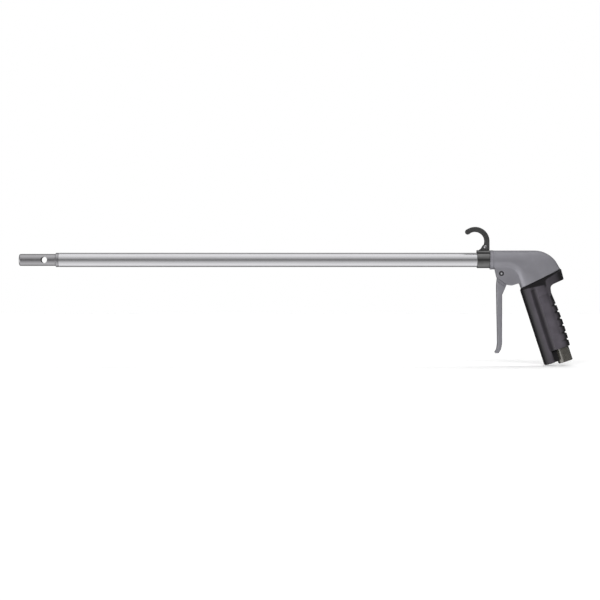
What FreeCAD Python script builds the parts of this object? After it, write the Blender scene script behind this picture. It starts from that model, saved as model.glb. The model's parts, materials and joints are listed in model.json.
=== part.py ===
"""Pistol-grip compressed-air blow gun with a long extension barrel.

The parts are drawn in the gun's own axes: X runs along the barrel towards the grip, with X = 0 on
the casting's front face, Z is up from the barrel's axis, and Y is across. Every sub-part is then
placed so that the model's origin is the mouth of the air inlet, under the grip. All lengths are in
millimetres.
"""
import FreeCAD
import Part
import Sketcher

import math
import os
import re

Vector = FreeCAD.Vector
LOOP_POINTS = 32
ELBOW_STEPS = 9

SIZES = {
    # fits, and a cut long enough to go right through any part
    "fit_gap": 0.02,
    "slide_gap": 0.05,
    "through": 60.0,
    # extension tube: 20 mm drawn aluminium tube, 24 inches in front of the casting
    "tube_od": 20.0,
    "tube_wall": 1.65,
    "tube_reach": 609.6,
    "tube_socket": 6.0,
    "barrel_groove": 1.55,
    "adapter_front": 24.0,
    "adapter_back": 22.0,
    "adapter_bore_r": 4.0,
    "barrel_thread_r": 6.5,
    "barrel_passage_r": 5.0,
    "barrel_passage_end": 42.0,
    # nozzle at the tube's far end
    "nozzle_od": 16.8,
    "nozzle_reach": 52.0,
    "nozzle_collar": 3.8,
    "joint_chamfer": 0.5,
    "nose_radius": 2.3,
    "nozzle_spigot": 18.0,
    "nozzle_mouth_r": 5.6,
    "nozzle_mouth_depth": 12.0,
    "nozzle_bore_r": 5.2,
    "vent_r": 4.5,
    "vent_back": 16.5,
    "spigot_groove": 9.2,
    "groove_width": 2.0,
    "groove_depth": 1.1,
    "jet_seat_r": 5.6,
    "jet_front": 8.0,
    "jet_length": 16.0,
    "jet_throat": 5.0,
    "jet_mouth_r": 4.4,
    "jet_orifice_r": 1.6,
    # hang hook and its collar
    "collar_r": 11.6,
    "saddle_width": 16.0,
    "saddle_edge": 3.8,
    "collar_front": 18.2,
    "collar_chamfer": 0.5,
    "collar_gap": 0.3,
    "hook_centre_x": 20.7,
    "hook_centre_z": 26.3,
    "hook_outer_r": 20.3,
    "hook_inner_r": 13.2,
    "hook_width": 8.4,
    "hook_tip_angle": 127.5,
    "foot_z": 13.75,
    "tongue_width": 3.0,
    "rivet_x": 6.3,
    "rivet_z": 18.3,
    "rivet_r": 1.5,
    "rivet_head_r": 2.3,
    "rivet_crown": 0.9,
    # casting
    "housing_r": 13.3,
    "elbow_radius": 37.4,
    "elbow_start": 63.0,
    "elbow_slope": 58.0,
    "hub_x": 24.0,
    "hub_z": 50.0,
    "joint_angle": 26.4,
    "neck_radius": 16.0,
    "neck_slope": 75.0,
    "body_half_width": 14.2,
    "boss_width": 17.0,
    "boss_blend": 2.0,
    "cast_edge": 0.8,
    "slot_width": 9.4,
    "slot_end": 29.0,
    # trigger
    "pivot_x": 16.2,
    "pivot_z": 19.2,
    "pin_r": 1.6,
    "pin_recess_r": 3.6,
    "pin_recess": 1.3,
    "pin_ring": 0.4,
    "head_r": 5.4,
    "trigger_width": 9.0,
    "lever_width": 14.0,
    "lever_edge": 1.8,
    "heel_x": 22.2,
    # valve, on an axis along X below the barrel
    "valve_z": 28.0,
    "cartridge_r": 6.5,
    "cartridge_front": 29.5,
    "cartridge_length": 18.5,
    "stem_r": 1.6,
    "stem_gap": 0.15,
    "transfer_r": 3.0,
    "outlet_reach": 12.0,
    "port_r": 2.2,
    "seat_bore_r": 3.4,
    "disc_r": 5.2,
    "spring_wire_r": 0.45,
    "spring_r": 5.3,
    "spring_end": 62.0,
    "spring_turns": 5,
    # handle, leaning back from the vertical
    "lean": 18.0,
    "grip_x": 42.0,
    "grip_z": 39.5,
    "grip_depth": 43.5,
    "grip_power": 2.9,
    "grip_half_width": 16.2,
    "grip_end": 98.5,
    "lobe_end": 115.0,
    "lobe_depth": 14.0,
    "inlet_u": 30.1,
    "inlet_v": 119.0,
    "bushing_r": 10.4,
    "bushing_length": 20.0,
    "inlet_thread_r": 5.8,
    "inlet_thread_depth": 14.0,
    "shank_r": 7.5,
    "shank_length": 14.0,
    "screen_seat_r": 5.3,
    "screen_seat": 1.6,
    "screen_thick": 1.2,
    "rim_chamfer": 0.8,
    "passage_r": 4.2,
    "mesh_hole_r": 0.65,
    "core_front": 10.0,
    "core_back": 38.0,
    "core_half_width": 10.0,
    "core_corner_r": 4.0,
    "shoulder_front": 2.4,
    "shoulder_back": 6.8,
    "shoulder_bevel": 1.0,
    "throat_front": 1.2,
    "throat_half_width": 11.6,
    "neck_power": 3.4,
    "beak_half_width": 13.8,
    "beak_end": 64.0,
    "beak_edge": 1.2,
    "ridge_count": 6,
    "ridge_pitch": 10.3,
    "ridge_first": 37.8,
    "ridge_width": 2.4,
    "ridge_depth": 2.0,
    "flute_u": 15.8,
    "flute_r": 6.0,
    "flute_depth": 2.4,
    "flute_top": 8.5,
    "panel_front": 20.5,
    "panel_back": 35.0,
    "panel_top": 20.0,
    "panel_bottom": 78.0,
    "panel_depth": 0.7,
    "lobe_half_width": 6.5,
}

DERIVED = {
    "inlet_x": "grip_x + inlet_u*cos(lean*1deg) + inlet_v*sin(lean*1deg)",
    "inlet_z": "grip_z - inlet_u*sin(lean*1deg) + inlet_v*cos(lean*1deg)",
}

doc = FreeCAD.newDocument("BlowGun")
sheet = doc.addObject("Spreadsheet::Sheet", "Sizes")
PARTS = []


def fill_sheet():
    """Write the driving dimensions, and the two that follow from them, into the sheet."""
    for row, (alias, value) in enumerate(SIZES.items(), start=1):
        sheet.set("A%d" % row, str(value))
        sheet.setAlias("A%d" % row, alias)
    doc.recompute()
    for row, (alias, formula) in enumerate(DERIVED.items(), start=len(SIZES) + 1):
        value = float(sheet.evalExpression(formula))
        sheet.set("A%d" % row, repr(round(value, 4)))
        sheet.setAlias("A%d" % row, alias)
    doc.recompute()


def linked(text):
    """The expression with every alias pointed at its cell in the sheet."""
    names = set(SIZES) | set(DERIVED)
    return re.sub(r"[a-z_]+", lambda m: "Sizes." + m.group() if m.group() in names else m.group(), text)


def size(text):
    """The value of an expression in the sheet's aliases."""
    return float(sheet.evalExpression(text))


def place(thing, label, x="0", z="0", lean=False):
    """Name a sub-part and put its own origin at x, z in the gun's axes."""
    thing.Label = label
    turn = "rotation(vector(0; 1; 0); -lean*1deg)" if lean else "rotation(vector(0; 1; 0); 0deg)"
    place_at = "placement(vector(%s - inlet_x; 0; inlet_z + %s); %s)" % (x, z, turn)
    thing.setExpression("Placement", linked(place_at))
    PARTS.append(thing)
    return thing


def attach(thing, body, role):
    """Attach a sketch to one of its body's origin planes."""
    plane = [feature for feature in body.Origin.OriginFeatures if feature.Role == role][0]
    thing.AttachmentSupport = [(plane, "")]
    thing.MapMode = "FlatFace"


def outline(body, name, points, role="XZ_Plane"):
    """A closed polygon whose corners are held at the given pairs of expressions."""
    sketch = body.newObject("Sketcher::SketchObject", name)
    attach(sketch, body, role)
    corners = [Vector(size(a), size(b), 0) for a, b in points]
    count = len(corners)
    for i in range(count):
        sketch.addGeometry(Part.LineSegment(corners[i], corners[(i + 1) % count]), False)
    for i in range(count):
        sketch.addConstraint(Sketcher.Constraint("Coincident", i, 2, (i + 1) % count, 1))
    for i, pair in enumerate(points):
        for kind, text, value in zip(("DistanceX", "DistanceY"), pair, corners[i]):
            index = sketch.addConstraint(Sketcher.Constraint(kind, -1, 1, i, 1, value))
            sketch.setExpression("Constraints[%d]" % index, linked(text))
    return sketch


def ring(body, name, x, y, radius, role="XZ_Plane"):
    """A circle sketch, its centre and radius held by expressions."""
    sketch = body.newObject("Sketcher::SketchObject", name)
    attach(sketch, body, role)
    centre = Vector(size(x), size(y), 0)
    sketch.addGeometry(Part.Circle(centre, Vector(0, 0, 1), size(radius)), False)
    held = (("DistanceX", x, centre.x), ("DistanceY", y, centre.y))
    for kind, text, value in held:
        index = sketch.addConstraint(Sketcher.Constraint(kind, -1, 1, 0, 3, value))
        sketch.setExpression("Constraints[%d]" % index, linked(text))
    index = sketch.addConstraint(Sketcher.Constraint("Radius", 0, size(radius)))
    sketch.setExpression("Constraints[%d]" % index, linked(radius))
    return sketch


def new_body(name):
    return doc.addObject("PartDesign::Body", name)


def revolve(body, sketch, axis="H_Axis"):
    """Turn a sketch all the way round one of its own axes."""
    turned = body.newObject("PartDesign::Revolution", sketch.Name + "_turned")
    turned.Profile = sketch
    turned.ReferenceAxis = (sketch, [axis])
    turned.Angle = 360
    sketch.Visibility = False
    return turned


def pad(body, sketch, width):
    """Extrude a sketch by the same amount to both sides."""
    block = body.newObject("PartDesign::Pad", sketch.Name + "_pad")
    block.Profile = sketch
    block.SideType = "Symmetric"
    block.setExpression("Length", linked(width))
    return block


def pocket(body, sketch, width):
    """Cut a sketch by the same amount to both sides."""
    cut = body.newObject("PartDesign::Pocket", sketch.Name + "_cut")
    cut.Profile = sketch
    cut.SideType = "Symmetric"
    cut.setExpression("Length", linked(width))
    return cut


def soften(body, base, radius, chosen):
    """Round the edges of the base feature that the test picks."""
    doc.recompute()
    names = ["Edge%d" % (i + 1) for i, edge in enumerate(base.Shape.Edges) if chosen(edge)]
    fillet = body.newObject("PartDesign::Fillet", base.Name + "_soft")
    fillet.Base = (base, names)
    fillet.setExpression("Radius", linked(radius))
    return fillet


def turned(label, profile, x="0", z="0", lean=False, axis="H_Axis", role="XZ_Plane"):
    """A sub-part turned from one polygon: pairs of place along the axis and radius."""
    body = new_body(label)
    revolve(body, outline(body, label + "_profile", profile, role), axis)
    return place(body, label, x, z, lean)


def o_ring(label, along, centre_r, section_r, x="0", z="0", lean=False, axis="H_Axis"):
    """A rubber ring of round section about the barrel, the valve or the inlet."""
    body = new_body(label)
    spot = (along, centre_r) if axis == "H_Axis" else (centre_r, along)
    revolve(body, ring(body, label + "_section", spot[0], spot[1], section_r), axis)
    return place(body, label, x, z, lean)


def along_y(edge):
    """Whether an edge is a straight one across the gun."""
    ends = [vertex.Point for vertex in edge.Vertexes]
    return len(ends) == 2 and abs((ends[1] - ends[0]).normalize().y) > 0.99


# --- barrel -------------------------------------------------------------------------------------


def make_tube():
    bore = "tube_od/2 - tube_wall"
    end = "(1 - tube_reach)"
    profile = [
        (end, bore),
        ("tube_socket", bore),
        ("tube_socket", "tube_od/2"),
        (end + " + joint_chamfer", "tube_od/2"),
        (end, "tube_od/2 - joint_chamfer"),
    ]
    turned("extension_tube", profile)


def make_nozzle():
    """Nozzle with a rounded nose, a shoulder that butts the tube, and a grooved spigot."""
    body = new_body("nozzle")
    spigot_r = "(tube_od/2 - tube_wall - fit_gap)"
    shoulder = "(1 - tube_reach)"
    nose = "(1 - tube_reach - nozzle_collar - nozzle_reach)"
    profile = outline(body, "nozzle_profile", [
        (nose, "nozzle_mouth_r"),
        (nose + " + nozzle_mouth_depth", "nozzle_mouth_r"),
        (nose + " + nozzle_mouth_depth", "nozzle_bore_r"),
        (shoulder + " - jet_front", "nozzle_bore_r"),
        (shoulder + " - jet_front", "jet_seat_r"),
        (shoulder + " + nozzle_spigot", "jet_seat_r"),
        (shoulder + " + nozzle_spigot", spigot_r),
        (shoulder + " + spigot_groove + groove_width", spigot_r),
        (shoulder + " + spigot_groove + groove_width", spigot_r + " - groove_depth"),
        (shoulder + " + spigot_groove", spigot_r + " - groove_depth"),
        (shoulder + " + spigot_groove", spigot_r),
        (shoulder, spigot_r),
        (shoulder, "tube_od/2 - joint_chamfer"),
        (shoulder + " - joint_chamfer", "tube_od/2"),
        (shoulder + " - nozzle_collar", "tube_od/2"),
        (shoulder + " - nozzle_collar - 0.9", "nozzle_od/2"),
        (nose, "nozzle_od/2"),
    ])
    revolve(body, profile)
    vent_x = shoulder + " - vent_back - nozzle_collar"
    vent = pocket(body, ring(body, "vent", vent_x, "0", "vent_r"), "through")
    doc.recompute()
    tip_x = size(nose)

    def outer_rim(edge):
        box = edge.BoundBox
        return abs(box.XMin - tip_x) < 0.01 and box.XLength < 0.01 and box.ZLength > size("nozzle_od") - 0.1

    soften(body, vent, "nose_radius", outer_rim)
    place(body, "nozzle")


def make_jet():
    """Brass jet pressed into the nozzle: air leaves its orifice just behind the side vents."""
    start = "(1 - tube_reach - jet_front)"
    turned("nozzle_jet", [
        (start, "jet_orifice_r"),
        (start + " + jet_throat", "jet_orifice_r"),
        (start + " + jet_length", "jet_mouth_r"),
        (start + " + jet_length", "jet_seat_r - fit_gap"),
        (start, "jet_seat_r - fit_gap"),
    ])


def make_adapter():
    """Brass nipple that joins the tube to the casting: spigot in the tube, thread in the casting."""
    inside_tube = "tube_od/2 - tube_wall - fit_gap"
    thread_r = "barrel_thread_r - slide_gap"
    turned("barrel_adapter", [
        ("-adapter_front", "adapter_bore_r"),
        ("adapter_back", "adapter_bore_r"),
        ("adapter_back", thread_r),
        ("tube_socket + 0.1", thread_r),
        ("tube_socket + 0.1", inside_tube),
        ("-adapter_front", inside_tube),
    ])


# --- hang hook ----------------------------------------------------------------------------------


def make_collar():
    """Ring on the tube, with a flat saddle and a tongue for the hook on top."""
    body = new_body("hook_collar")
    front, back = "-collar_front", "-collar_gap"
    bore = "tube_od/2 + slide_gap"
    revolve(body, outline(body, "band", [
        (front, bore),
        (back, bore),
        (back, "collar_r - collar_chamfer"),
        ("-collar_gap - collar_chamfer", "collar_r"),
        ("collar_chamfer - collar_front", "collar_r"),
        (front, "collar_r - collar_chamfer"),
    ]))
    saddle = pad(body, outline(body, "saddle", [
        (front, "saddle_width/2"),
        (back, "saddle_width/2"),
        (back, "foot_z - slide_gap"),
        (front, "foot_z - slide_gap"),
    ]), "saddle_width")
    doc.recompute()
    half = size("saddle_width") / 2

    def saddle_edge(edge):
        box = edge.BoundBox
        lengthwise = box.XLength > 15 and box.YLength < 0.01
        return lengthwise and box.ZMin > half + 1 and abs(abs(box.YMin) - half) < 0.01

    soften(body, saddle, "saddle_edge", saddle_edge)
    pad(body, outline(body, "tongue", [
        ("-14.5", "13"),
        ("-1.6", "13"),
        ("-1.6", "21"),
        ("-9.5", "21"),
    ]), "tongue_width")
    doc.recompute()
    pocket(body, ring(body, "rivet_hole", "-rivet_x", "rivet_z", "rivet_r"), "through")
    pocket(body, ring(body, "tube_clearance", "0", "0", bore, "YZ_Plane"), "through")
    place(body, "hook_collar")


def make_hook():
    """Flat-forged hook: an open ring that runs down into a forked foot over the collar's tongue."""
    body = new_body("hang_hook")
    cx, cz = "-hook_centre_x", "hook_centre_z"
    foot_curve = [
        (cx + " + 5.1", "foot_z"),
        (cx + " + 7.2", "17.2"),
        (cx + " + 11.2", "19.6"),
    ]
    pad(body, ring(body, "hook_disc", cx, cz, "hook_outer_r"), "hook_width")
    pad(body, outline(body, "stalk", [
        (cx + " + hook_inner_r", cz),
        (cx + " + hook_outer_r", cz),
        (cx + " + hook_outer_r", "foot_z"),
    ] + foot_curve), "hook_width")
    pocket(body, outline(body, "mouth", [
        (cx, cz),
        (cx + " + through*cos(hook_tip_angle*1deg)", cz + " + through*sin(hook_tip_angle*1deg)"),
        (cx + " - through", cz + " - through"),
        (cx + " + through", cz + " - through"),
        (cx + " + through", "foot_z"),
    ] + foot_curve), "through")
    pocket(body, ring(body, "hook_inside", cx, cz, "hook_inner_r"), "through")
    doc.recompute()
    middle_r = "(hook_outer_r + hook_inner_r)/2"
    tip_x = cx + " + %s*cos(hook_tip_angle*1deg)" % middle_r
    tip_z = cz + " + %s*sin(hook_tip_angle*1deg)" % middle_r
    pad(body, ring(body, "tip_knob", tip_x, tip_z, "(hook_outer_r - hook_inner_r)/2 + 0.25"), "hook_width")
    pocket(body, outline(body, "fork", [
        ("-16", "13"),
        ("0", "13"),
        ("0", "21.3"),
        ("-16", "21.3"),
    ]), "tongue_width + 2*slide_gap")
    pocket(body, ring(body, "rivet_hole", "-rivet_x", "rivet_z", "rivet_r"), "through")
    place(body, "hang_hook")


def make_rivet():
    """Rivet through the hook's fork and the collar's tongue, with a domed head each side."""
    half = "hook_width/2"
    turned("hook_rivet", [
        ("0", "-%s - rivet_crown" % half),
        ("rivet_head_r/2", "-%s - 0.9*rivet_crown" % half),
        ("rivet_head_r", "-%s - fit_gap" % half),
        ("rivet_r - fit_gap", "-%s - fit_gap" % half),
        ("rivet_r - fit_gap", "%s + fit_gap" % half),
        ("rivet_head_r", "%s + fit_gap" % half),
        ("rivet_head_r/2", "%s + 0.9*rivet_crown" % half),
        ("0", "%s + rivet_crown" % half),
    ], x="-rivet_x", z="rivet_z", axis="V_Axis", role="XY_Plane")


# --- trigger ------------------------------------------------------------------------------------


def make_trigger():
    """Lever that hangs from the pivot pin; its heel pushes the valve's stem backwards."""
    body = new_body("trigger_lever")
    pad(body, ring(body, "head", "pivot_x", "-pivot_z", "head_r"), "trigger_width")
    pad(body, outline(body, "web", [
        ("pivot_x", "-pivot_z"),
        ("heel_x", "-pivot_z - 1"),
        ("heel_x", "-33.5"),
        ("23.4", "-35.5"),
        ("17.2", "-49.4"),
        ("10", "-52"),
        ("9.3", "-36"),
        ("pivot_x - head_r + fit_gap", "-pivot_z"),
    ]), "trigger_width")
    lever = pad(body, outline(body, "lever", [
        ("9.35", "-38"),
        ("9.84", "-30"),
        ("22.06", "-38.5"),
        ("17.2", "-49.4"),
        ("17.1", "-118.5"),
        ("15.6", "-126.5"),
        ("12.2", "-131.6"),
        ("8.6", "-131.8"),
        ("6.9", "-130.2"),
        ("9.6", "-125.2"),
        ("10.6", "-117"),
    ]), "lever_width")
    doc.recompute()
    half = size("lever_width") / 2

    def lever_rim(edge):
        box = edge.BoundBox
        return box.YLength < 0.01 and abs(abs(box.YMin) - half) < 0.01

    soften(body, lever, "lever_edge", lever_rim)
    pocket(body, ring(body, "pivot_hole", "pivot_x", "-pivot_z", "pin_r + slide_gap"), "through")
    place(body, "trigger_lever")


def make_pin():
    """Pivot pin across both ears, with a small domed button at each end."""
    reach = "(boss_width/2 - pin_recess)"
    turned("trigger_pin", [
        ("0", "-%s - 0.9" % reach),
        ("1.0", "-%s - 0.7" % reach),
        ("pin_r", "-%s - 0.2" % reach),
        ("pin_r", "%s + 0.2" % reach),
        ("1.0", "%s + 0.7" % reach),
        ("0", "%s + 0.9" % reach),
    ], x="pivot_x", z="-pivot_z", axis="V_Axis", role="XY_Plane")


def make_pin_rings():
    """Two push-on rings, one in each ear's recess, that keep the pin in."""
    body = new_body("pin_rings")
    floor = "(boss_width/2 - pin_recess + fit_gap)"
    top = "(boss_width/2 - pin_recess + pin_ring)"
    for name, sign in (("ring_near", "-"), ("ring_far", "")):
        revolve(body, outline(body, name, [
            ("pin_r + fit_gap", sign + floor),
            ("pin_recess_r - 0.3", sign + floor),
            ("pin_recess_r - 0.3", sign + top),
            ("pin_r + fit_gap", sign + top),
        ], "XY_Plane"), "V_Axis")
    place(body, "pin_rings", "pivot_x", "-pivot_z")


# --- valve --------------------------------------------------------------------------------------


def make_cartridge():
    """Brass valve seat, screwed in through the trigger's slot."""
    body = new_body("valve_retainer")
    front = "cartridge_front"
    back = "(cartridge_front + cartridge_length)"
    outer = "cartridge_r - 0.03"
    revolve(body, outline(body, "cartridge", [
        (front, "stem_r + 0.06"),
        (front + " + 3", "stem_r + 0.06"),
        (front + " + 3", "3"),
        (front + " + 5.2", "3"),
        (front + " + 5.2", "stem_r + 0.06"),
        (front + " + 6.5", "stem_r + 0.06"),
        (front + " + 6.5", "seat_bore_r"),
        (back, "seat_bore_r"),
        (back, "4.2"),
        (back + " - 0.9", "4.8"),
        (back + " - 0.9", outer),
        (front + " + 13.4", outer),
        (front + " + 13.4", "4.9"),
        (front + " + 7", "4.9"),
        (front + " + 7", outer),
        (front + " + 5.9", outer),
        (front + " + 5.9", outer + " - groove_depth"),
        (front + " + 3.9", outer + " - groove_depth"),
        (front + " + 3.9", outer),
        (front + " + 0.6", outer),
        (front, outer + " - 0.6"),
    ]))
    doc.recompute()
    pocket(body, ring(body, "cross_holes", front + " + 10", "0", "port_r"), "through")
    pocket(body, ring(body, "upright_holes", front + " + 10", "0", "port_r", "XY_Plane"), "through")
    for name, sign in (("driver_slot", ""), ("driver_slot_low", "-")):
        slot = outline(body, name, [
            (front + " - 1", sign + "2.6"),
            (front + " + 1.4", sign + "2.6"),
            (front + " + 1.4", sign + "10"),
            (front + " - 1", sign + "10"),
        ])
        pocket(body, slot, "1.4")
    place(body, "valve_retainer", z="-valve_z")


def make_stem():
    """Stem with a rounded nose at the trigger's heel, and a disc that carries the seal."""
    back = "(cartridge_front + cartridge_length)"
    nose = "(heel_x + stem_gap)"
    turned("valve_stem", [
        (nose, "0"),
        (nose + " + 0.25", "0.85"),
        (nose + " + 0.8", "1.35"),
        (nose + " + 1.6", "stem_r"),
        (back + " + 0.3", "stem_r"),
        (back + " + 0.3", "2.6"),
        (back + " + 1.9", "2.6"),
        (back + " + 1.9", "disc_r"),
        (back + " + 3.1", "disc_r"),
        (back + " + 3.1", "3.9"),
        (back + " + 5.6", "3.9"),
        (back + " + 5.6", "0"),
    ], z="-valve_z")


def make_seal():
    """Rubber face of the poppet, resting on the seat's raised lip."""
    back = "(cartridge_front + cartridge_length)"
    turned("poppet_seal", [
        (back + " + 0.02", "2.65"),
        (back + " + 1.88", "2.65"),
        (back + " + 1.88", "disc_r"),
        (back + " + 0.02", "disc_r"),
    ], z="-valve_z")


def make_spring():
    """Coil spring between the poppet's shoulder and the end of the valve's chamber."""
    body = new_body("valve_spring")
    start = size("cartridge_front + cartridge_length + 3.15 + spring_wire_r")
    length = size("spring_end - 0.05 - spring_wire_r") - start
    sketch = ring(body, "wire", "spring_r", "0", "spring_wire_r", "XY_Plane")
    coil = body.newObject("PartDesign::AdditiveHelix", "coil")
    coil.Profile = sketch
    coil.ReferenceAxis = (sketch, ["V_Axis"])
    coil.Mode = "height-turns-angle"
    coil.Height = length
    coil.Turns = size("spring_turns")
    body.Label = "valve_spring"
    turn = "rotation(vector(0; 0; 1); -90deg)"
    at = "placement(vector(%r - inlet_x; 0; inlet_z - valve_z); %s)" % (start, turn)
    body.setExpression("Placement", linked(at))
    PARTS.append(body)


# --- inlet --------------------------------------------------------------------------------------


def make_bushing():
    """Steel inlet bushing under the grip: pipe thread in its mouth, shank screwed into the casting."""
    turned("inlet_bushing", [
        ("inlet_thread_r", "0"),
        ("inlet_thread_r", "inlet_thread_depth"),
        ("screen_seat_r", "inlet_thread_depth"),
        ("screen_seat_r", "inlet_thread_depth + screen_seat"),
        ("passage_r", "inlet_thread_depth + screen_seat"),
        ("passage_r", "bushing_length + shank_length"),
        ("shank_r - slide_gap", "bushing_length + shank_length"),
        ("shank_r - slide_gap", "bushing_length + fit_gap"),
        ("bushing_r", "bushing_length + fit_gap"),
        ("bushing_r", "rim_chamfer"),
        ("bushing_r - rim_chamfer", "0"),
    ], x="inlet_x", z="-inlet_z", lean=True, axis="V_Axis")


def make_screen():
    """Perforated disc that keeps scale out of the valve."""
    body = new_body("inlet_screen")
    floor = "inlet_thread_depth + slide_gap"
    revolve(body, outline(body, "disc", [
        ("0", floor),
        ("screen_seat_r - slide_gap", floor),
        ("screen_seat_r - slide_gap", floor + " + screen_thick"),
        ("0", floor + " + screen_thick"),
    ]), "V_Axis")
    doc.recompute()
    sketch = ring(body, "mesh_hole", "0", "0", "mesh_hole_r", "XY_Plane")
    hole_r = size("mesh_hole_r")
    for circle_r, count in ((1.9, 6), (3.7, 12)):
        for step in range(count):
            angle = 2 * math.pi * step / count
            centre = Vector(circle_r * math.cos(angle), circle_r * math.sin(angle), 0)
            sketch.addGeometry(Part.Circle(centre, Vector(0, 0, 1), hole_r), False)
    pocket(body, sketch, "through")
    place(body, "inlet_screen", "inlet_x", "-inlet_z", lean=True)


# --- casting and grip ---------------------------------------------------------------------------


def super_loop(inner, outer, half_width, power):
    """A closed smooth curve round the chord from inner to outer, squarer for a higher power."""
    centre = (inner + outer) * 0.5
    along = (outer - inner) * 0.5
    points = []
    for step in range(LOOP_POINTS):
        angle = 2 * math.pi * step / LOOP_POINTS
        c, s = math.cos(angle), math.sin(angle)
        across = math.copysign(abs(s) ** (2.0 / power), s) * half_width
        points.append(centre + along * math.copysign(abs(c) ** (2.0 / power), c) + Vector(0, across, 0))
    curve = Part.BSplineCurve()
    curve.interpolate(Points=points, PeriodicFlag=True)
    return Part.Wire([curve.toShape()])


def outline_point(hub, angle, start, top, radius, slope):
    """Where the ray from the hub at this angle meets an outline.

    The outline is level at the height top as far as start, then bends down round the radius, and
    runs straight again once it falls at the slope.
    """
    ray = Vector(math.cos(angle), 0, math.sin(angle))
    level = (top - hub.z) / ray.z
    if hub.x + level * ray.x <= start:
        return hub + ray * level
    centre = Vector(start, 0, top - radius)
    normal = Vector(math.sin(slope), 0, math.cos(slope))
    touch = centre + normal * radius
    if angle < math.atan2(touch.z - hub.z, touch.x - hub.x):
        return hub + ray * (normal.dot(touch - hub) / normal.dot(ray))
    offset = hub - centre
    half_b = ray.dot(offset)
    return hub + ray * (math.sqrt(half_b ** 2 - offset.dot(offset) + radius ** 2) - half_b)


def make_elbow():
    """The casting's barrel housing and elbow, lofted through sections that fan round a hub."""
    hub = Vector(size("hub_x"), 0, -size("hub_z"))
    round_r = size("housing_r")
    sections = []
    for share in (0.06, 0.35, 0.67):
        middle = Vector(share * hub.x, 0, 0)
        up = Vector(0, 0, round_r)
        sections.append(super_loop(middle - up, middle + up, round_r, 2.0))
    last = math.radians(size("joint_angle"))
    neck_slope = math.radians(size("neck_slope"))
    elbow_slope = math.radians(size("elbow_slope"))
    for step in range(ELBOW_STEPS + 1):
        share = step / ELBOW_STEPS
        angle = math.pi / 2 + (last - math.pi / 2) * share
        width = round_r + (size("body_half_width") - round_r) * share
        inner = outline_point(hub, angle, hub.x, -round_r, size("neck_radius"), neck_slope)
        outer = outline_point(hub, angle, size("elbow_start"), round_r, size("elbow_radius"), elbow_slope)
        sections.append(super_loop(inner, outer, width, 2.0 + 0.8 * min(1.0, 1.6 * share)))
    elbow = doc.addObject("Part::Feature", "elbow")
    elbow.Shape = Part.makeLoft(sections, True, False)
    return elbow


def cylinder(name, radius, length, x="0", y="0", z="0", axis="vector(0; 1; 0)", angle="90deg"):
    """A Part cylinder, by default along +X from the given point in the gun's axes."""
    rod = doc.addObject("Part::Cylinder", name)
    rod.setExpression("Radius", linked(radius))
    rod.setExpression("Height", linked(length))
    text = "placement(vector(%s; %s; %s); rotation(%s; %s))" % (x, y, z, axis, angle)
    rod.setExpression("Placement", linked(text))
    return rod


def handle_point(u, v):
    """Expressions for x and z of a point u behind the grip's front edge and v down the handle."""
    x = "grip_x + (%s)*cos(lean*1deg) + (%s)*sin(lean*1deg)" % (u, v)
    z = "-grip_z + (%s)*sin(lean*1deg) - (%s)*cos(lean*1deg)" % (u, v)
    return x, z


def handle_bar(name, radius, top, bottom, u="inlet_u"):
    """A round bar or bore along the handle, from v = bottom up to v = top."""
    x, z = handle_point(u, bottom)
    return cylinder(name, radius, "(%s) - (%s)" % (bottom, top), x, "0", z, "vector(0; 1; 0)", "-lean*1deg")


def make_boss():
    """Flat cheek under the housing that carries the trigger and the valve."""
    body = new_body("boss")
    cheek = pad(body, outline(body, "cheek", [
        ("7.4", "-9"),
        ("7.4", "-13.4"),
        ("9.9", "-24.7"),
        ("24", "-35"),
        ("31", "-36.2"),
        ("40.5", "-33.2"),
        ("47", "-31"),
        ("52", "-9"),
    ]), "boss_width")

    def lower_corner(edge):
        box = edge.BoundBox
        return along_y(edge) and box.ZMax < -24 and box.XMax < 39

    soften(body, cheek, "2.5", lower_corner)
    return body


def make_core():
    """Bar of the casting that runs down inside the grip."""
    body = new_body("core")
    corners = [
        handle_point("core_front", "-12"),
        handle_point("core_back", "-12"),
        handle_point("core_back", "grip_end"),
        handle_point("core_front", "grip_end"),
    ]
    bar = pad(body, outline(body, "core_side", corners), "2*core_half_width")

    def long_edge(edge):
        return edge.Length > size("grip_end")

    soften(body, bar, "core_corner_r", long_edge)
    return body


def rounded(base, name, radius, chosen):
    """Round the edges of a Part object that the test picks."""
    doc.recompute()
    picked = [i + 1 for i, edge in enumerate(base.Shape.Edges) if chosen(edge)]
    fillet = doc.addObject("Part::Fillet", name)
    fillet.Base = base
    fillet.Edges = [(index, size(radius), size(radius)) for index in picked]
    return fillet


def make_solid_casting():
    """The casting before its bores: elbow, front bead, cheek and core, with their corners blended."""
    bead = cylinder("bead", "housing_r + 0.35", "4.6")
    solid = doc.addObject("Part::MultiFuse", "casting_blank")
    solid.Shapes = [make_elbow(), bead, make_boss(), make_core()]
    cheek_y = size("boss_width") / 2

    def curved(edge):
        return edge.Curve.TypeId.endswith("BSplineCurve")

    def on_cheek(edge):
        box = edge.BoundBox
        return box.YLength < 0.01 and abs(abs(box.YMin) - cheek_y) < 0.01

    def cheek_join(edge):
        box = edge.BoundBox
        behind = box.XMin > 40 and box.XMax < 50 and box.YLength > 2 * cheek_y - 0.1
        return curved(edge) and (on_cheek(edge) and edge.Length > 30 or behind)

    def end_rim(edge):
        box = edge.BoundBox
        front = box.XMax < 0.01 and box.YLength > 20
        joint = curved(edge) and box.XMax > 95 and box.YLength > 20
        return front or joint

    blended = rounded(solid, "cheek_blend", "boss_blend", cheek_join)
    return rounded(blended, "ends_rounded", "cast_edge", end_rim)


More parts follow.
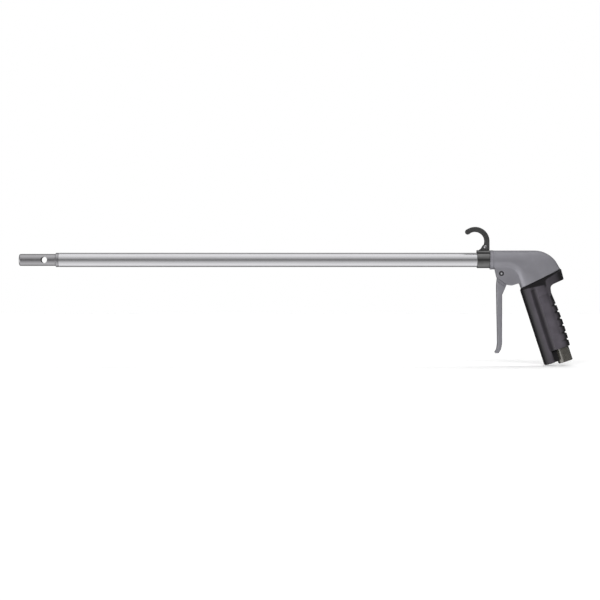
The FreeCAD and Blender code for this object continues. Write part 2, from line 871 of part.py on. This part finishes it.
def make_casting():
    solid = make_solid_casting()
    slot = doc.addObject("Part::Box", "trigger_slot")
    slot.setExpression("Length", linked("slot_end - 2"))
    slot.setExpression("Width", linked("slot_width"))
    slot.setExpression("Height", "40")
    slot.setExpression("Placement", linked("placement(vector(2; -slot_width/2; -53.4); rotation(0; 0; 0))"))

    def bore_across(name, radius, start, length):
        """A bore through the ears at the pivot, from the plane y = start."""
        return cylinder(name, radius, length, "pivot_x", start, "-pivot_z", "vector(1; 0; 0)", "-90deg")

    hollow = [
        slot,
        cylinder("tube_socket", "tube_od/2 + slide_gap", "tube_socket + 1.2", "-1"),
        cylinder("oring_groove", "tube_od/2 + barrel_groove", "2.2", "1.9"),
        cylinder("barrel_thread", "barrel_thread_r", "adapter_back + 2", "-1"),
        cylinder("barrel_passage", "barrel_passage_r", "barrel_passage_end + 1", "-1"),
        cylinder("transfer_passage", "transfer_r", "valve_z", "cartridge_front + 10", "0", "-valve_z",
                 "vector(0; 0; 1)", "0deg"),
        cylinder("cartridge_bore", "cartridge_r", "spring_end - 20", "20", "0", "-valve_z"),
        cylinder("chamber_outlet", "passage_r", "outlet_reach", "spring_end - 2", "0", "-valve_z"),
        bore_across("pin_hole", "pin_r + 0.01", "-boss_width/2 - 1", "boss_width + 2"),
        bore_across("near_recess", "pin_recess_r", "-boss_width/2 - 1", "pin_recess + 1"),
        bore_across("far_recess", "pin_recess_r", "boss_width/2 - pin_recess", "pin_recess + 1"),
        handle_bar("inlet_passage", "passage_r", "-6", "grip_end + 1"),
        handle_bar("bushing_thread", "shank_r", "grip_end - shank_length - 1", "grip_end + 1"),
    ]
    cuts = doc.addObject("Part::MultiFuse", "casting_hollows")
    cuts.Shapes = hollow
    body = doc.addObject("Part::Cut", "gun_body")
    body.Base = solid
    body.Tool = cuts
    place(body, "gun_body")


def grip_loft(inset=0.0):
    """The grip's moulded length, lofted in its own axes: x to the rear, z up the handle."""
    half = size("grip_half_width")
    depth = size("grip_depth")
    # down the handle at the front and at the back, back, half width
    stations = [
        (size("shoulder_front"), size("shoulder_back"), depth - 3.9, half - 0.9),
        (20.0, 20.0, depth - 3.1, half - 0.3),
        (40.0, 40.0, depth - 1.4, half),
        (60.0, 60.0, depth - 0.2, half + 0.1),
        (80.0, 80.0, depth, half),
        (size("grip_end"), size("grip_end"), depth - 0.7, half - 0.3),
        (size("lobe_end"), size("lobe_end"), depth - 1.6, half - 0.6),
    ]
    sections = []
    for front_down, back_down, back, width in stations:
        inner = Vector(inset, 0, -front_down)
        outer = Vector(back - inset, 0, -back_down)
        sections.append(super_loop(inner, outer, width - inset, size("grip_power")))
    return Part.makeLoft(sections, True, False)


def shouldered_loft():
    """The moulded length with its top and bottom rims bevelled."""
    loft = grip_loft()
    top, bottom = -size("shoulder_back") - 1, -size("lobe_end") + 1
    rims = [edge for edge in loft.Edges if edge.BoundBox.ZMin > top or edge.BoundBox.ZMax < bottom]
    return loft.makeChamfer(size("shoulder_bevel"), rims)


def block(low, high, half_width):
    """A box between two corners in the grip's side view, as wide as given to both sides."""
    return Part.makeBox(high[0] - low[0], 2 * half_width, high[1] - low[1],
                        Vector(low[0], -half_width, low[1]))


def plate(corners, half_width):
    """A flat plate between the sides of a rounded column as long as the casting's joint."""
    reach = size("beak_end")
    points = [Vector(u, -reach, z) for u, z in corners]
    side_view = Part.Face(Part.makePolygon(points + points[:1])).extrude(Vector(0, 2 * reach, 0))
    ends = [edge for edge in side_view.Edges if along_y(edge) and edge.BoundBox.XMin > reach - 2]
    front = size("throat_front")
    loop = super_loop(Vector(front, 0, -reach), Vector(reach, 0, -reach), half_width, size("neck_power"))
    column = Part.Face(loop).extrude(Vector(0, 0, 2 * reach))
    return column.common(side_view.makeFillet(size("beak_edge"), ends))


def make_neck():
    """Recessed throat under the casting's joint, and the beak that stands out below it at the rear."""
    tilt = math.tan(math.radians(size("joint_angle - lean")))
    end = size("beak_end")

    def under_joint(u):
        return -1.45 + tilt * u

    web_rest = [(62.5, -7.6), (45.5, -9.4), (42.4, -10.8), (40.6, -13.2), (39.9, -17), (38.5, -24)]
    front = size("throat_front")
    throat = [(front, -9), (front, under_joint(front)), (end, under_joint(end))] + web_rest + [(30, -24)]
    beak = [(35.5, -9), (36.5, -1.5), (39.0, 0.6), (52.4, 3.6), (end - 0.5, 6.2)] + web_rest + [(30, -24)]
    return plate(throat, size("throat_half_width")).fuse(plate(beak, size("beak_half_width")))


def lobe_hollows():
    """What is cut away round the inlet bushing, so that only a lobe runs on in front of it."""
    end = -size("grip_end")
    floor = -size("lobe_end") - 5
    back = size("beak_end")
    start = size("lobe_depth")
    half = size("lobe_half_width")
    hollows = [
        block((start + 9, floor), (back, end), 8),
        Part.makeCylinder(size("bushing_r") + 0.1, end - floor, Vector(size("inlet_u"), 0, floor)),
    ]
    for low_y in (half, -half - 20):
        hollows.append(Part.makeBox(back, 20, end - floor, Vector(start, low_y, floor)))
    return hollows


def side_reliefs():
    """Finger flute and shallow panel on each side of the grip."""
    end = -size("grip_end")
    out = size("grip_half_width + flute_r - flute_depth")
    reliefs = []
    for sign in (-1, 1):
        base = Vector(size("flute_u"), sign * out, end)
        reliefs.append(Part.makeCylinder(size("flute_r"), -end - size("flute_top"), base))
    low = (size("panel_front"), -size("panel_bottom"))
    high = (size("panel_back"), -size("panel_top"))
    reliefs.append(block(low, high, 25).cut(grip_loft(size("panel_depth"))))
    return reliefs


def back_grooves():
    """Grooves across the back, deepest in the middle and fading out round the sides."""
    kept = grip_loft()
    kept.translate(Vector(-size("ridge_depth"), 0, 0))
    half = size("ridge_width") / 2
    grooves = []
    for step in range(int(size("ridge_count"))):
        middle = -size("ridge_first") - step * size("ridge_pitch")
        grooves.append(block((27, middle - half), (size("beak_end"), middle + half), 25).cut(kept))
    return grooves


def core_socket():
    """The through hole that takes the casting's core."""
    bottom = -size("grip_end") - 1
    half = size("core_half_width") + 0.05
    front = size("core_front") - 0.05
    socket = block((front, bottom), (size("core_back") + 0.05, 39), half)
    upright = [edge for edge in socket.Edges if edge.Length > 100]
    return socket.makeFillet(size("core_corner_r"), upright)


def make_grip():
    """Cushion sleeve pulled over the casting's core, with ribs across its back."""
    sleeve = shouldered_loft().fuse(make_neck())
    for tool in lobe_hollows() + side_reliefs() + back_grooves() + [core_socket()]:
        sleeve = sleeve.cut(tool)
    grip = doc.addObject("Part::Feature", "grip_sleeve")
    grip.Shape = sleeve
    place(grip, "grip_sleeve", "grip_x", "-grip_z", lean=True)


def make_gasket():
    """Flat washer between the inlet bushing's flange and the casting's core."""
    turned("inlet_gasket", [
        ("7.6", "bushing_length + 0.04"),
        ("bushing_r - 0.3", "bushing_length + 0.04"),
        ("bushing_r - 0.3", "inlet_v - grip_end - 0.02"),
        ("7.6", "inlet_v - grip_end - 0.02"),
    ], x="inlet_x", z="-inlet_z", lean=True, axis="V_Axis")


def make_o_rings():
    o_ring("barrel_oring", "3", "tube_od/2 + 0.8", "0.72")
    o_ring("nozzle_oring", "1 - tube_reach + 10.2", "tube_od/2 - tube_wall - 0.6", "0.5")
    o_ring("retainer_oring", "cartridge_front + 4.9", "cartridge_r - 0.55", "0.5", z="-valve_z")
    o_ring("stem_oring", "cartridge_front + 4.1", "stem_r + 0.7", "0.65", z="-valve_z")


def make_everything():
    fill_sheet()
    for make in (make_tube, make_nozzle, make_jet, make_adapter, make_collar, make_hook, make_rivet,
                 make_trigger, make_pin, make_pin_rings, make_cartridge, make_stem, make_seal,
                 make_spring, make_bushing, make_gasket, make_screen, make_o_rings, make_casting,
                 make_grip):
        make()
    doc.recompute()


def check():
    """Stop if a feature failed, or if a sub-part has no valid shape."""
    failed = [thing.Name for thing in doc.Objects if {"Invalid", "Error"} & set(thing.State)]
    failed += [part.Label for part in PARTS if part.Shape.isNull() or not part.Shape.isValid()]
    if failed:
        raise RuntimeError("failed: " + ", ".join(failed))


def write():
    os.makedirs("parts", exist_ok=True)
    for part in PARTS:
        part.Shape.exportStep("parts/%s.step" % part.Label)
        print("%-16s %d solid(s) %10.1f mm3" % (part.Label, len(part.Shape.Solids), part.Shape.Volume))


make_everything()
check()
write()
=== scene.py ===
"""Looks for a long-reach air blow gun: materials, studio and camera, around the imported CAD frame."""
import json
import math

import bpy
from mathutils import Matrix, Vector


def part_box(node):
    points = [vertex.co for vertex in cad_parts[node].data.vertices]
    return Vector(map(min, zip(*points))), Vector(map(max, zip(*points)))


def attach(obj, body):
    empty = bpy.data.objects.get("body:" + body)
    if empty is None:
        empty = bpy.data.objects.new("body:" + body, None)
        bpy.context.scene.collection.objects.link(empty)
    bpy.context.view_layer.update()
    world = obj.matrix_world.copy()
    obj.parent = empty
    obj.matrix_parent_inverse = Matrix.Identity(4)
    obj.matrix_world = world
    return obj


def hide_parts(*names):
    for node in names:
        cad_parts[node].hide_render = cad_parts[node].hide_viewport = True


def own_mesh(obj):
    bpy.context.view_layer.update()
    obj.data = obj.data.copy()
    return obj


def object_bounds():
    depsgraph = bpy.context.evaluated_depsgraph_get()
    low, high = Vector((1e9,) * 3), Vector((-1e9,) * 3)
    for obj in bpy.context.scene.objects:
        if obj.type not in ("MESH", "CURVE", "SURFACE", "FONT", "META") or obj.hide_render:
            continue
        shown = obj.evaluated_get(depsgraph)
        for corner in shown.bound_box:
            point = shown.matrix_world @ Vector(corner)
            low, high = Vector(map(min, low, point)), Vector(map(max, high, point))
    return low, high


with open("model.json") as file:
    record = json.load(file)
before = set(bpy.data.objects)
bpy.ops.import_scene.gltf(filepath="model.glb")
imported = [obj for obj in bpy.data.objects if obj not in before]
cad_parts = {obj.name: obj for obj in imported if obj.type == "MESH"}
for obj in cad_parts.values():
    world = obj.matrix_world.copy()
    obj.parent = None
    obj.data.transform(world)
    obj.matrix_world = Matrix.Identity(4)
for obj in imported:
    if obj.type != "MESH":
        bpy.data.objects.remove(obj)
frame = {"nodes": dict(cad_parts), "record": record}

CAD_LOW, CAD_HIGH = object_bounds()
NODES = frame["nodes"]


def named(rows, name):
    """The one of the record's rows that has this name."""
    return [row for row in rows if row["name"] == name][0]


# The gun, in metres: the direction across the grip from its front to its back, and how far in front of
# the inlet's axis the flute in the grip's side runs.
INLET_AXIS = named(frame["record"]["mounts"], "air_inlet")["axis"]
ACROSS_GRIP = (-INLET_AXIS[2], 0.0, INLET_AXIS[0])
FLUTE_TO_INLET = 0.0148

# Rounded pieces: points nearer than this many metres are joined first, and this share of the faces is kept.
WELD_GAP = 0.000002
KEPT_FACES = 0.5

# What glossy surfaces mirror: the strength level with the gun and overhead, the shares of it left behind
# the gun and past its ends, and the direction and strength of one soft window.
HORIZON, ZENITH = 0.12, 1.0
BEHIND, BESIDE = 0.15, 0.6
WINDOW, WINDOW_STRENGTH = (-0.86, -0.42, -0.26), 1.6

# Floor, in metres, and its own faint glow, which brings it to the white of the backdrop.
FLOOR_RADIUS, FLOOR_DROP, FLOOR_GLOW = 12.0, 0.0005, 0.22

# Camera, in metres: what it takes in, how far off it stands, and where it aims, measured forward from
# the tube's rear end and down from the tube's axis. The sensor is in millimetres.
VIEW_WIDTH, CAMERA_DISTANCE = 0.8475, 3.2
AIM_FORWARD, AIM_DOWN = 0.2739, 0.0566
SENSOR_WIDTH = 36.0


# --- shader helpers -----------------------------------------------------------------------------


class Shader:
    """One node-based material, with short calls for the nodes it is made of."""

    def __init__(self, name, **settings):
        self.material = bpy.data.materials.new(name)
        self.material.use_nodes = True
        self.tree = self.material.node_tree
        self.surface = self.tree.nodes["Principled BSDF"]
        places = self.node("ShaderNodeTexCoord")
        self.space = places.outputs["Object"]
        self.facing = places.outputs["Normal"]
        for socket, value in settings.items():
            self.surface.inputs[socket.replace("_", " ")].default_value = value

    def node(self, kind, **values):
        """A new node, with its settings and its inputs given by name."""
        made = self.tree.nodes.new(kind)
        for key, value in values.items():
            if hasattr(made, key) and not isinstance(value, bpy.types.NodeSocket):
                setattr(made, key, value)
            else:
                self.feed(made.inputs[key], value)
        return made

    def feed(self, socket, value):
        """Join an output to an input, or set the input to a value."""
        if isinstance(value, bpy.types.NodeSocket):
            self.tree.links.new(value, socket)
        else:
            socket.default_value = value

    def stretched(self, scale):
        """The object's own coordinates, scaled differently along each axis."""
        mapping = self.node("ShaderNodeMapping")
        self.feed(mapping.inputs["Vector"], self.space)
        self.feed(mapping.inputs["Scale"], scale)
        return mapping.outputs["Vector"]

    def noise(self, scale, detail=3.0, vector=None, rough=0.55):
        """Soft random patches, by default over the object's own coordinates."""
        made = self.node("ShaderNodeTexNoise", Scale=scale, Detail=detail, Roughness=rough)
        self.feed(made.inputs["Vector"], vector or self.space)
        return made.outputs["Fac"]

    def ramp(self, value, low, high, to_low=0.0, to_high=1.0):
        """Map low..high to to_low..to_high, held at both ends."""
        made = self.node("ShaderNodeMapRange")
        self.feed(made.inputs["Value"], value)
        for name, number in (("From Min", low), ("From Max", high), ("To Min", to_low), ("To Max", to_high)):
            made.inputs[name].default_value = number
        return made.outputs["Result"]

    def along(self, axis, vector=None):
        """One coordinate of a vector, by default of the place on the object."""
        split = self.node("ShaderNodeSeparateXYZ")
        self.feed(split.inputs["Vector"], vector or self.space)
        return split.outputs[axis]

    def broadside(self, low, high):
        """1 where the surface faces the gun's left or right side, 0 where it turns away from them."""
        return self.ramp(self.math("ABSOLUTE", self.along("Y", self.facing)), low, high)

    def across(self, direction):
        """How far the place on the object is along a direction from the origin, the inlet's mouth."""
        made = self.node("ShaderNodeVectorMath", operation="DOT_PRODUCT")
        self.feed(made.inputs[0], self.space)
        self.feed(made.inputs[1], direction)
        return made.outputs["Value"]

    def math(self, operation, a, b=0.0):
        made = self.node("ShaderNodeMath", operation=operation)
        self.feed(made.inputs[0], a)
        self.feed(made.inputs[1], b)
        return made.outputs["Value"]

    def mix(self, share, first, second):
        """A colour between two, by share. A Mix node's sockets share names, so its colours go by number."""
        first_colour, second_colour, mixed_colour = 6, 7, 2
        made = self.node("ShaderNodeMix", data_type="RGBA")
        self.feed(made.inputs["Factor"], share)
        self.feed(made.inputs[first_colour], first)
        self.feed(made.inputs[second_colour], second)
        return made.outputs[mixed_colour]

    def colour(self, value):
        self.feed(self.surface.inputs["Base Color"], value)

    def roughness(self, value):
        self.feed(self.surface.inputs["Roughness"], value)

    def bump(self, height, strength, distance):
        made = self.node("ShaderNodeBump", Strength=strength, Distance=distance)
        self.feed(made.inputs["Height"], height)
        self.feed(self.surface.inputs["Normal"], made.outputs["Normal"])


def grey(level, tint=(1.0, 1.0, 1.0)):
    """A grey as a colour with its alpha, each channel scaled by the tint."""
    return tuple(level * channel for channel in tint) + (1.0,)


# --- cast and moulded pieces --------------------------------------------------------------------


def softened(node, name, voxel, passes):
    """A piece for a CAD node whose edges are too crisp: the same shape with a casting's or moulding's edges.

    voxel is the grid that it is rebuilt on, in metres, and passes is how often it is smoothed.
    """
    piece = bpy.data.objects.new(name, NODES[node].data.copy())
    bpy.context.collection.objects.link(piece)
    weld = piece.modifiers.new("weld", "WELD")
    weld.merge_threshold = WELD_GAP
    remesh = piece.modifiers.new("remesh", "REMESH")
    remesh.mode = "VOXEL"
    remesh.voxel_size = voxel
    remesh.use_smooth_shade = True
    smooth = piece.modifiers.new("smooth", "SMOOTH")
    smooth.iterations = passes
    smooth.factor = 0.5
    thin = piece.modifiers.new("thin", "DECIMATE")
    thin.ratio = KEPT_FACES
    graph = bpy.context.evaluated_depsgraph_get()
    shaped = bpy.data.meshes.new_from_object(piece.evaluated_get(graph), depsgraph=graph)
    piece.modifiers.clear()
    piece.data = shaped
    shaped.shade_smooth()
    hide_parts(node)
    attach(piece, "gun")
    return piece


# --- materials ----------------------------------------------------------------------------------


def cast_grey(name, level=0.27, rough=0.42):
    """Satin grey coat on a tumbled die casting: fine stipple, soft mottling, faint rubbed patches."""
    shader = Shader(name, Metallic=0.55)
    tint = (0.98, 0.965, 1.06)
    mottle = shader.noise(60.0, 4.0)
    stipple = shader.noise(1900.0, 2.0)
    paler_mottle = shader.ramp(shader.noise(38.0, 6.0), 0.62, 0.78)
    base = shader.mix(shader.ramp(mottle, 0.3, 0.7), grey(level * 0.93, tint), grey(level * 1.07, tint))
    shader.colour(shader.mix(shader.math("MULTIPLY", paler_mottle, 0.35), base, grey(level * 1.35, tint)))
    shader.roughness(shader.ramp(shader.math("ADD", mottle, shader.math("MULTIPLY", stipple, 0.5)),
                                 0.4, 1.1, rough - 0.05, rough + 0.07))
    pits = shader.math("MULTIPLY", shader.noise(320.0, 3.0), 1.6)
    shader.bump(shader.math("ADD", stipple, pits), 0.35, 0.00012)
    return shader.material


def drawn_aluminium(name, level=0.78, rough=0.28, along=(14.0, 900.0, 900.0)):
    """Bright drawn tube: hairlines along its length, faint handling marks."""
    shader = Shader(name, Metallic=1.0)
    tint = (0.985, 0.98, 1.01)
    hair = shader.noise(1.0, 5.0, shader.stretched(along), 0.65)
    patches = shader.noise(22.0, 3.0)
    shader.colour(shader.mix(shader.ramp(hair, 0.3, 0.7), grey(level * 0.93, tint), grey(level * 1.05, tint)))
    shader.roughness(shader.ramp(shader.math("ADD", hair, shader.math("MULTIPLY", patches, 0.4)),
                                 0.4, 1.0, rough - 0.06, rough + 0.07))
    shader.bump(hair, 0.18, 0.00008)
    return shader.material


def turned_metal(name, level, rough, tint=(1.0, 0.985, 1.02), around="X"):
    """Lathe-turned metal: fine rings round the axis."""
    shader = Shader(name, Metallic=1.0)
    scale = {"X": (4200.0, 30.0, 30.0), "Y": (30.0, 4200.0, 30.0)}[around]
    rings = shader.noise(1.0, 3.0, shader.stretched(scale))
    shader.colour(shader.mix(shader.ramp(rings, 0.3, 0.7), grey(level * 0.9, tint), grey(level * 1.06, tint)))
    shader.roughness(shader.ramp(rings, 0.3, 0.7, rough - 0.05, rough + 0.06))
    shader.bump(rings, 0.16, 0.00006)
    return shader.material


def dark_gloss(name, level, rough, metallic=0.6, coat=0.5, tint=(1.0, 1.0, 1.0), painted_shade=1.0):
    """Dark lacquer or oxide over metal, lightly scuffed.

    Its last argument is painted shade: the colour where the surface turns away from the gun's sides, as a
    share of level; 1 leaves none.
    """
    shader = Shader(name, Metallic=metallic, Coat_Weight=coat, Coat_Roughness=0.12)
    wear = shader.noise(420.0, 6.0)
    soft = shader.noise(90.0, 3.0)
    scuffed = shader.mix(shader.ramp(soft, 0.35, 0.65), grey(level * 0.85, tint), grey(level * 1.15, tint))
    # Painted shade: darker where the surface turns away from the gun's sides, by the last argument.
    shader.colour(shader.mix(shader.broadside(0.5, 0.95), grey(level * painted_shade, tint), scuffed))
    shader.roughness(shader.ramp(wear, 0.3, 0.75, rough - 0.05, rough + 0.12))
    shader.bump(shader.math("ADD", wear, soft), 0.12, 0.0001)
    return shader.material


def cushion_rubber(name, hollow, crown, level=0.064, painted_shade=0.006):
    """Satin moulded rubber in its own faintly mottled tone, with painted shade: near black in the hollows,
    along the flute and where the surface turns away from the gun's sides.

    hollow and crown are distances from the gun's middle plane, where the painted shade starts to give way and
    where it is gone.
    """
    shader = Shader(name, Metallic=0.0, Specular_IOR_Level=0.4)
    tint = (1.03, 0.92, 1.1)
    grain = shader.noise(1500.0, 3.0)
    bloom = shader.noise(70.0, 5.0)
    paler_mottle = shader.mix(shader.ramp(bloom, 0.35, 0.7), grey(level * 0.88, tint), grey(level * 1.15, tint))
    # Painted shade: the rubber's own tone only where the side stands proud of the middle plane and faces the
    # side; near black in the hollows and where it turns away.
    proud = shader.ramp(shader.math("ABSOLUTE", shader.along("Y")), hollow, crown)
    share = shader.math("MULTIPLY", shader.broadside(0.45, 0.93), proud)
    # Painted shade along the flute: darker within a few millimetres of its line.
    off_flute = shader.math("ABSOLUTE", shader.math("ADD", shader.across(ACROSS_GRIP), FLUTE_TO_INLET))
    share = shader.math("MULTIPLY", share, shader.ramp(off_flute, 0.0008, 0.0045, 0.3, 1.0))
    shader.colour(shader.mix(share, grey(painted_shade, tint), paler_mottle))
    shader.roughness(shader.ramp(shader.math("ADD", bloom, shader.math("MULTIPLY", grain, 0.5)),
                                 0.4, 1.1, 0.36, 0.5))
    shader.bump(grain, 0.4, 0.00015)
    return shader.material


def seal_rubber(name):
    """Plain black nitrile, slightly matt."""
    shader = Shader(name, Metallic=0.0)
    grain = shader.noise(2500.0, 2.0)
    shader.colour(shader.mix(grain, grey(0.012), grey(0.03)))
    shader.roughness(shader.ramp(grain, 0.3, 0.7, 0.45, 0.6))
    return shader.material


def coat(piece, material):
    """Give a piece one material all over."""
    piece.data.materials.clear()
    piece.data.materials.append(material)


def finish_nodes():
    """Give every CAD node that shows its material."""
    brass = turned_metal("brass", 0.62, 0.28, (1.0, 0.78, 0.42))
    steel = turned_metal("ground_steel", 0.55, 0.25)
    seal = seal_rubber("nitrile")
    looks = {
        "trigger_lever": cast_grey("satin_trigger", 0.28, 0.4),
        "extension_tube": drawn_aluminium("drawn_tube"),
        "nozzle": turned_metal("turned_nozzle", 0.46, 0.33),
        "hook_collar": dark_gloss("gunmetal_collar", 0.17, 0.05, 1.0, 0.2),
        "hook_rivet": turned_metal("rivet_steel", 0.5, 0.3, around="Y"),
        "trigger_pin": turned_metal("pin_steel", 0.95, 0.55, around="Y"),
        "pin_rings": dark_gloss("ring_oxide", 0.012, 0.35, 0.5, 0.1),
        "inlet_bushing": dark_gloss("bushing_oxide", 0.115, 0.2, 0.6, 1.0, tint=(1.05, 1.0, 0.88)),
    }
    for name in ("nozzle_jet", "barrel_adapter", "valve_retainer"):
        looks[name] = brass
    for name in ("valve_stem", "inlet_screen"):
        looks[name] = steel
    for name in ("poppet_seal", "retainer_oring", "stem_oring", "inlet_gasket", "barrel_oring",
                 "nozzle_oring"):
        looks[name] = seal
    for name, material in looks.items():
        coat(NODES[name], material)


def soft_pieces():
    """The casting, the forged hook and the moulded grip, whose outsides aren't machined."""
    casting = softened("gun_body", "cast_body", voxel=0.00045, passes=4)
    coat(casting, cast_grey("satin_casting"))
    hook = softened("hang_hook", "forged_hook", voxel=0.0004, passes=24)
    # The hook gets painted shade, a tenth of its grey, where it turns away from the gun's sides.
    coat(hook, dark_gloss("black_hook", 0.042, 0.3, 0.2, 0.3, painted_shade=0.1))
    grip = softened("grip_sleeve", "moulded_grip", voxel=0.00045, passes=5)
    half_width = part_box("grip_sleeve")[1].y
    # The grip's painted shade in its hollows is set by these two distances from the middle plane.
    coat(grip, cushion_rubber("cushion_rubber", hollow=0.72 * half_width, crown=0.96 * half_width))


def shortening_spring():
    """The return spring between the poppet and the end of its chamber, as a copy of its CAD node in spring
    steel, carried with the gun.
    """
    spring = bpy.data.objects.new("coil_spring", NODES["valve_spring"].data.copy())
    bpy.context.collection.objects.link(spring)
    coat(spring, turned_metal("spring_steel", 0.55, 0.25))
    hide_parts("valve_spring")
    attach(spring, "gun")
    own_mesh(spring)


# --- studio -------------------------------------------------------------------------------------


def studio_world():
    """What glossy surfaces mirror: bright overhead and underfoot, dark round the horizon.

    The camera sees plain white. The soft lights light whatever isn't glossy.
    """
    world = bpy.data.worlds.new("studio")
    bpy.context.scene.world = world
    world.use_nodes = True
    world.cycles_visibility.diffuse = False
    tree = world.node_tree

    def node(kind, **settings):
        made = tree.nodes.new(kind)
        for key, value in settings.items():
            setattr(made, key, value)
        return made

    def ramp(value, low, high, to_low, to_high, curve="LINEAR"):
        made = node("ShaderNodeMapRange", interpolation_type=curve)
        tree.links.new(value, made.inputs["Value"])
        for name, number in (("From Min", low), ("From Max", high), ("To Min", to_low), ("To Max", to_high)):
            made.inputs[name].default_value = number
        return made.outputs["Result"]

    def math_node(operation, first, second=None):
        made = node("ShaderNodeMath", operation=operation)
        tree.links.new(first, made.inputs[0])
        if second is not None:
            tree.links.new(second, made.inputs[1])
        return made.outputs["Value"]

    split = node("ShaderNodeSeparateXYZ")
    generated = node("ShaderNodeTexCoord").outputs["Generated"]
    tree.links.new(generated, split.inputs["Vector"])
    rise = ramp(math_node("ABSOLUTE", split.outputs["Z"]), 0.0, 1.0, HORIZON, ZENITH)
    behind = ramp(split.outputs["Y"], 0.1, 0.9, 1.0, BEHIND, "SMOOTHSTEP")
    beside = ramp(math_node("ABSOLUTE", split.outputs["X"]), 0.25, 0.9, 1.0, BESIDE, "SMOOTHSTEP")
    towards = node("ShaderNodeVectorMath", operation="DOT_PRODUCT")
    tree.links.new(generated, towards.inputs[0])
    towards.inputs[1].default_value = WINDOW
    window = ramp(towards.outputs["Value"], 0.8, 0.97, 0.0, WINDOW_STRENGTH, "SMOOTHSTEP")
    shade = math_node("ADD", math_node("MULTIPLY", rise, math_node("MULTIPLY", behind, beside)), window)
    lighting = tree.nodes["Background"]
    tree.links.new(shade, lighting.inputs["Strength"])
    lighting.inputs["Color"].default_value = (1.0, 1.0, 1.0, 1.0)
    backdrop = node("ShaderNodeBackground")
    backdrop.inputs["Color"].default_value = (1.0, 1.0, 1.0, 1.0)
    backdrop.inputs["Strength"].default_value = 1.0
    mixed = node("ShaderNodeMixShader")
    tree.links.new(node("ShaderNodeLightPath").outputs["Is Camera Ray"], mixed.inputs["Fac"])
    tree.links.new(lighting.outputs["Background"], mixed.inputs[1])
    tree.links.new(backdrop.outputs["Background"], mixed.inputs[2])
    tree.links.new(mixed.outputs["Shader"], tree.nodes["World Output"].inputs["Surface"])


def soft_light(name, tilt, turn, strength, softness):
    """A wide soft light: tilt from overhead, turn about the vertical and softness are in degrees."""
    light = bpy.data.lights.new(name, "SUN")
    light.energy = strength
    light.angle = math.radians(softness)
    lamp = bpy.data.objects.new(name, light)
    bpy.context.collection.objects.link(lamp)
    lamp.location = (0, 0, 2)
    lamp.rotation_euler = (math.radians(tilt), 0, math.radians(turn))
    lamp.visible_glossy = False


def studio():
    """Mirror world, two soft lights and a plain pale floor."""
    bpy.context.scene.view_settings.view_transform = "Standard"
    studio_world()
    middle = (CAD_LOW + CAD_HIGH) / 2
    soft_light("near_light", tilt=68.0, turn=-10.0, strength=2.9, softness=36.0)
    soft_light("far_light", tilt=40.0, turn=170.0, strength=2.2, softness=60.0)
    bpy.ops.mesh.primitive_circle_add(vertices=96, radius=FLOOR_RADIUS, fill_type="NGON",
                                      location=(middle.x, 0, CAD_LOW.z - FLOOR_DROP))
    floor = bpy.context.object
    floor.name = "floor"
    pale = Shader("pale_floor", Metallic=0.0, Specular_IOR_Level=0.0)
    pale.colour(pale.mix(pale.noise(3.0), grey(0.94), grey(0.97)))
    pale.surface.inputs["Roughness"].default_value = 1.0
    pale.surface.inputs["Emission Color"].default_value = (1.0, 1.0, 1.0, 1.0)
    pale.surface.inputs["Emission Strength"].default_value = FLOOR_GLOW
    floor.data.materials.append(pale.material)
    floor.visible_glossy = False


def camera():
    """Level with the gun and square to its side."""
    data = bpy.data.cameras.new("side_camera")
    data.sensor_width = SENSOR_WIDTH
    data.lens = SENSOR_WIDTH * CAMERA_DISTANCE / VIEW_WIDTH
    lens = bpy.data.objects.new("side_camera", data)
    bpy.context.collection.objects.link(lens)
    tube_low, tube_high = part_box("extension_tube")
    axis_z = (tube_low.z + tube_high.z) / 2
    lens.location = (tube_high.x - AIM_FORWARD, -CAMERA_DISTANCE, axis_z - AIM_DOWN)
    lens.rotation_euler = (math.radians(90), 0, 0)
    bpy.context.scene.camera = lens


finish_nodes()
soft_pieces()
shortening_spring()
studio()
camera()
